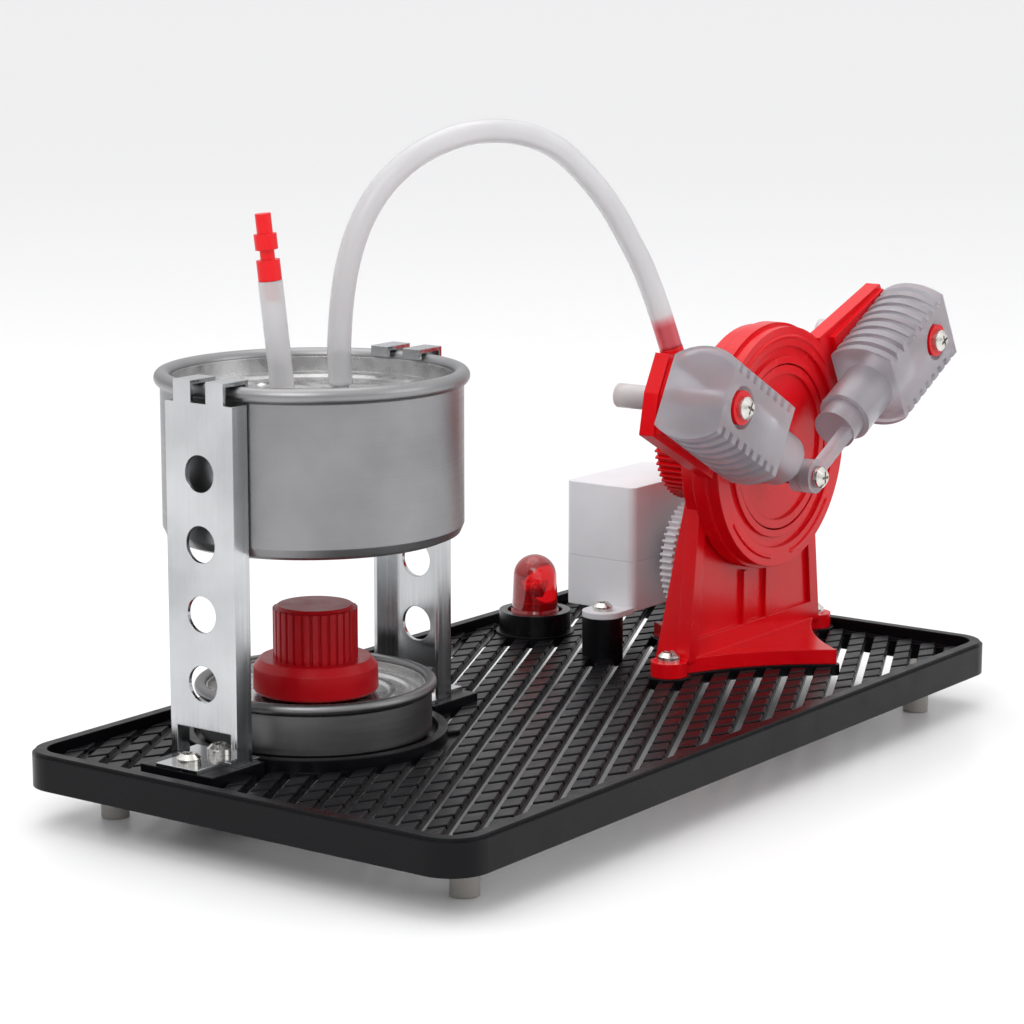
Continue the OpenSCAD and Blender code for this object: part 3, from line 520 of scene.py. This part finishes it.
class STEAM_OT_hose(bpy.types.Operator):
    """Steam hose: an open-bored tube swept along the route"""
    bl_idname = "steam.hose"
    bl_label = "Steam hose"

    def execute(self, context):
        steps, sides = 5, 28
        pink_length, blend = 0.0085, 0.002
        line = smooth_line(HOSE_ROUTE, steps)
        across = np.array([HOSE_ROUTE[0][1] - HOSE_ROUTE[-1][1],
                           HOSE_ROUTE[-1][0] - HOSE_ROUTE[0][0], 0])
        outer = tube_points(line, across, sizes().hose_outer / 2, sides)
        inner = tube_points(line, across, sizes().hose_bore / 2, sides)[::-1]
        points = np.concatenate([outer, inner]).reshape(-1, 3)
        hose = piece("steam_hose_tube", points, grid_faces(2 * len(line), sides, True, True),
                     finish("hose"), "frame")
        run = np.cumsum(np.r_[0, np.linalg.norm(np.diff(line, axis=0), axis=1)])
        left = run[-1] - run
        pink = np.clip((pink_length - left) / blend, 0, 1) * 0.95
        pink = np.repeat(np.concatenate([pink, pink[::-1]]), sides)
        hose.data.attributes.new("pink", "FLOAT", "POINT").data.foreach_set("value", pink)
        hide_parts("steam_hose")
        return {"FINISHED"}


class STEAM_OT_tread(bpy.types.Operator):
    """Tread of the tray: rhombic pads between the drain slots"""
    bl_idname = "steam.tread"
    bl_label = "Tray tread"

    def execute(self, context):
        """A pad lies between lines of constant w = -x sin a + y cos a (the slots) and of constant
        c = x sin a + y cos a (the grooves), so x = (c - w) / (2 sin a) and y = (c + w) / (2 cos a)."""
        angle, pitch = math.radians(SLOT_ANGLE), sizes().tread_pitch / MM
        groove = sizes().tread_gap / MM / 2
        rounding, reach, smallest, sunk = 7, 7.5, 3, 0.2
        k = np.arange(-18, 18)
        w0, w1 = k * SLOT_PITCH + SLOT_CLEARANCE, (k + 1) * SLOT_PITCH - SLOT_CLEARANCE
        j = np.arange(-22, 22)
        c0, c1 = j * pitch + groove, (j + 1) * pitch - groove
        W = np.stack([w0, w1, w1, w0], -1)[:, None, :]
        C = np.stack([c0, c0, c1, c1], -1)[None, :, :]
        x = ((C - W) / (2 * math.sin(angle))).reshape(-1, 4)
        y = ((C + W) / (2 * math.cos(angle))).reshape(-1, 4)
        half_x, half_y = TRAY_LONG / 2 - TRAY_BORDER, TRAY_WIDE / 2 - TRAY_BORDER
        mid_x, mid_y = x.mean(1), y.mean(1)
        inside = (np.abs(mid_x) < half_x + 1.5) & (np.abs(mid_y) < half_y + 1)
        corner = np.hypot(np.maximum(np.abs(mid_x) - half_x + rounding, 0),
                          np.maximum(np.abs(mid_y) - half_y + rounding, 0)) < reach
        x, y = np.clip(x, -half_x, half_x), np.clip(y, -half_y, half_y)
        area = 0.5 * np.abs(np.sum(x * np.roll(y, -1, 1) - y * np.roll(x, -1, 1), 1))
        clear_of_burner = np.hypot(x + TRAY_X - BOILER[0], y - BOILER[1]).min(1) > BURNER_RING
        keep = inside & corner & (area > smallest) & clear_of_burner
        x, y = x[keep] + TRAY_X, y[keep]
        turn = np.sum(x * np.roll(y, -1, 1) - y * np.roll(x, -1, 1), 1) < 0
        x[turn], y[turn] = x[turn][:, ::-1], y[turn][:, ::-1]
        cx, cy = x.mean(1, keepdims=True), y.mean(1, keepdims=True)
        top = DECK_TOP + sizes().tread_height / MM
        rings = [(1.0, DECK_TOP - sunk), (0.985, top - 0.35), (0.955, top - 0.1), (0.90, top)]
        pads = np.stack([np.stack([cx + s * (x - cx), cy + s * (y - cy), np.full_like(x, z)], -1)
                         for s, z in rings], 1)
        one = grid_faces(4, 4) + [[12, 13, 14, 15], [3, 2, 1, 0]]
        points, faces = joined([(pad.reshape(-1, 3), one) for pad in pads])
        piece("tray_tread", points * MM, faces, finish("tray_black"), "frame", False)
        return {"FINISHED"}


class STEAM_OT_lid_marks(bpy.types.Operator):
    """Pressed dimples on the boiler's lid"""
    bl_idname = "steam.lid_marks"
    bl_label = "Lid dimples"

    def execute(self, context):
        """Each dimple is a low dome: height = h * cos(pi/2 * s), radius = r * s. Its foot lies in
        the lid's sheet."""
        rings, sides, foot, height = 8, 24, 102.98, 0.7
        s = np.linspace(1, 0.02, rings)[:, None]
        a = np.linspace(0, 2 * np.pi, sides, endpoint=False)[None, :]
        rim = np.arange(sides)
        top = rim + (rings - 1) * sides
        faces = grid_faces(rings, sides) + [top.tolist(), rim[::-1].tolist()]
        domes = []
        for dx, dy, r in ((14, -13, 1.9), (-16, 12, 1.7), (3, 19, 1.7)):
            x, y = BOILER[0] + dx + r * s * np.cos(a), BOILER[1] + dy + r * s * np.sin(a)
            z = foot + height * np.cos(np.pi / 2 * s) + 0 * a
            domes.append((np.stack([x, y, z], -1).reshape(-1, 3), faces))
        points, faces = joined(domes)
        piece("lid_dimples", points * MM, faces, finish("lid"), "frame", True)
        return {"FINISHED"}


class STEAM_OT_housing_ribs(bpy.types.Operator):
    """Raised arcs on the face of the crank housing"""
    bl_idname = "steam.housing_ribs"
    bl_label = "Housing arcs"

    def execute(self, context):
        """Each arc is a round bar swept at one radius between two angles, its ends drawn in."""
        steps, radius, front, thickness = 40, 30.4, -25.5, 0.62
        taper = np.clip(np.minimum(np.arange(steps), np.arange(steps)[::-1]) / 2.0, 0.05, 1)
        bars = []
        for low, high in ((40, 150), (215, 262), (278, 325)):
            t = np.radians(np.linspace(low, high, steps))
            line = np.stack([CRANK[0] + radius * np.cos(t), np.full(steps, front),
                             CRANK[1] + radius * np.sin(t)], -1)
            bars.append(capped_tube(line, (0, 1, 0), thickness * taper, 12))
        points, faces = joined(bars)
        piece("housing_arcs", points * MM, faces, finish("red"), "frame", True)
        return {"FINISHED"}


class STEAM_OT_springs(bpy.types.Operator):
    """Coil springs on the two pivots, behind the arms"""
    bl_idname = "steam.springs"
    bl_label = "Pivot springs"

    def execute(self, context):
        """A helix about +Y: angle grows with the turns, depth with the angle."""
        turns, radius, front, length = 8, 1.85, -19.8, 9.8
        t = np.linspace(0, 1, 20 * turns + 1)
        a = 2 * np.pi * turns * t
        for side, direction in zip(("left", "right"), ARM_DIRECTIONS):
            x0 = CRANK[0] + PIVOT_REACH * math.cos(math.radians(direction))
            z0 = CRANK[1] + PIVOT_REACH * math.sin(math.radians(direction))
            line = np.stack([x0 + radius * np.cos(a), front + length * t, z0 + radius * np.sin(a)], -1)
            points, faces = capped_tube(line, (0, 1, 0), sizes().spring_wire / MM / 2, 8)
            coil = piece(side + "_spring_coil", points * MM, faces, finish("screws"),
                         side + "_swing", True)
            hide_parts(side + "_spring")
        return {"FINISHED"}


class STEAM_OT_wick(bpy.types.Operator):
    """Cotton wick twisted from strands"""
    bl_idname = "steam.wick"
    bl_label = "Wick"

    def execute(self, context):
        """Six strands turn about the axis while they rise: centre = r (cos, sin)(a0 + twist * t)."""
        strands, twist, radius, foot, rise, thickness = 6, 0.9, 1.45, 18.2, 16.9, 0.95
        t = np.linspace(0, 1, 40)
        narrowed = thickness * np.where(t > 0.97, 0.65, 1)
        bars = []
        for k in range(strands):
            a = 2 * np.pi * (k / strands + twist * t)
            line = np.stack([BOILER[0] + radius * np.cos(a), BOILER[1] + radius * np.sin(a),
                             foot + rise * t], -1)
            bars.append(capped_tube(line, (1, 0, 0), narrowed, 10))
        points, faces = joined(bars)
        wick = piece("wick_strands", points * MM, faces, finish("cotton"), "burner", True)
        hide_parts("wick")
        return {"FINISHED"}


class STEAM_OT_lamp_inside(bpy.types.Operator):
    """Reflector cup inside the lamp's dome"""
    bl_idname = "steam.lamp_inside"
    bl_label = "Lamp inside"

    def execute(self, context):
        cup = [(0.02, 27.0), (1.6, 27.0), (2.6, 31.4), (2.3, 31.4), (1.2, 29.0), (0.02, 29.0)]
        turned("lamp_cup", cup, LAMP, finish("screws"), "frame", 32)
        return {"FINISHED"}


class STEAM_OT_finishes(bpy.types.Operator):
    """Give every CAD node its finish"""
    bl_idname = "steam.finishes"
    bl_label = "Finishes"

    def execute(self, context):
        for key, (_, names) in FINISH_OF.items():
            for name in names:
                node = NODES[name]
                for slot in node.material_slots:
                    slot.material = finish(key)
                if not node.material_slots:
                    node.data.materials.append(finish(key))
        return {"FINISHED"}


class STEAM_OT_stage(bpy.types.Operator):
    """Pale floor, soft sky and three studio lights"""
    bl_idname = "steam.stage"
    bl_label = "Stage"

    def execute(self, context):
        sides, radius, level = 64, 16, -0.0002
        a = np.linspace(0, 2 * np.pi, sides, endpoint=False)
        rim = np.stack([radius * np.cos(a), radius * np.sin(a), np.full(sides, level)], -1)
        mesh = bpy.data.meshes.new("floor")
        mesh.from_pydata(rim.tolist(), [], [list(range(sides))])
        floor = bpy.data.objects.new("floor", mesh)
        context.scene.collection.objects.link(floor)
        pale = Finish("pale_floor", (0.88, 0.88, 0.885), 0.3)
        pale.put("Specular IOR Level", 0.35)
        mesh.materials.append(pale.material)
        world = bpy.data.worlds.new("soft_sky")
        context.scene.world = world
        world.use_nodes = True
        tree = world.node_tree
        sky = tree.nodes["Background"]
        sky.inputs["Strength"].default_value = 1.0
        coords = tree.nodes.new("ShaderNodeTexCoord")
        split = tree.nodes.new("ShaderNodeSeparateXYZ")
        ramp = tree.nodes.new("ShaderNodeValToRGB")
        ramp.color_ramp.elements[0].position = 0.0
        ramp.color_ramp.elements[0].color = (0.56, 0.56, 0.575, 1)
        ramp.color_ramp.elements[1].position = 0.75
        ramp.color_ramp.elements[1].color = (1.2, 1.2, 1.2, 1)
        tree.links.new(coords.outputs["Generated"], split.inputs[0])
        tree.links.new(split.outputs["Z"], ramp.inputs["Fac"])
        tree.links.new(ramp.outputs["Color"], sky.inputs["Color"])
        for name, place, power, size in (("key", (-0.75, -0.25, 0.75), 2.6, 0.5),
                                         ("fill", (0.35, -1.0, 0.45), 1.6, 0.6),
                                         ("top", (0.1, 0.3, 1.1), 3.0, 0.9)):
            data = bpy.data.lights.new(name, "AREA")
            data.energy, data.size = power, size
            lamp = bpy.data.objects.new(name, data)
            lamp.location = place
            aim = np.array([0.0, 0.0, 0.07]) - np.array(place)
            flat = math.hypot(aim[0], aim[1])
            lamp.rotation_euler = (math.atan2(flat, -aim[2]), 0, math.atan2(-aim[0], aim[1]))
            context.scene.collection.objects.link(lamp)
        context.scene.view_settings.view_transform = "Standard"
        return {"FINISHED"}


STEPS = ("camera", "hose", "tread", "lid_marks", "housing_ribs", "springs", "wick", "lamp_inside",
         "finishes", "stage")


class STEAM_PT_panel(bpy.types.Panel):
    """Sizes, colours and steps of the model steam engine"""
    bl_idname = "STEAM_PT_panel"
    bl_label = "Model steam engine"
    bl_space_type = "VIEW_3D"
    bl_region_type = "UI"
    bl_category = "Steam engine"

    def draw(self, context):
        for group in (sizes(), colours()):
            for name in group.__annotations__:
                self.layout.prop(group, name)
        for step in STEPS:
            self.layout.operator("steam." + step)


CLASSES = (SteamEngineSizes, SteamEngineColours, STEAM_OT_camera, STEAM_OT_hose, STEAM_OT_tread,
           STEAM_OT_lid_marks, STEAM_OT_housing_ribs, STEAM_OT_springs, STEAM_OT_wick,
           STEAM_OT_lamp_inside, STEAM_OT_finishes, STEAM_OT_stage, STEAM_PT_panel)


def register():
    for c in CLASSES:
        bpy.utils.register_class(c)
    bpy.types.Scene.steam_engine_sizes = bpy.props.PointerProperty(type=SteamEngineSizes)
    bpy.types.Scene.steam_engine_colours = bpy.props.PointerProperty(type=SteamEngineColours)


def unregister():
    del bpy.types.Scene.steam_engine_colours
    del bpy.types.Scene.steam_engine_sizes
    for c in reversed(CLASSES):
        bpy.utils.unregister_class(c)


def main():
    register()
    for step in STEPS:
        getattr(bpy.ops.steam, step)()


if __name__ == "__main__":
    main()
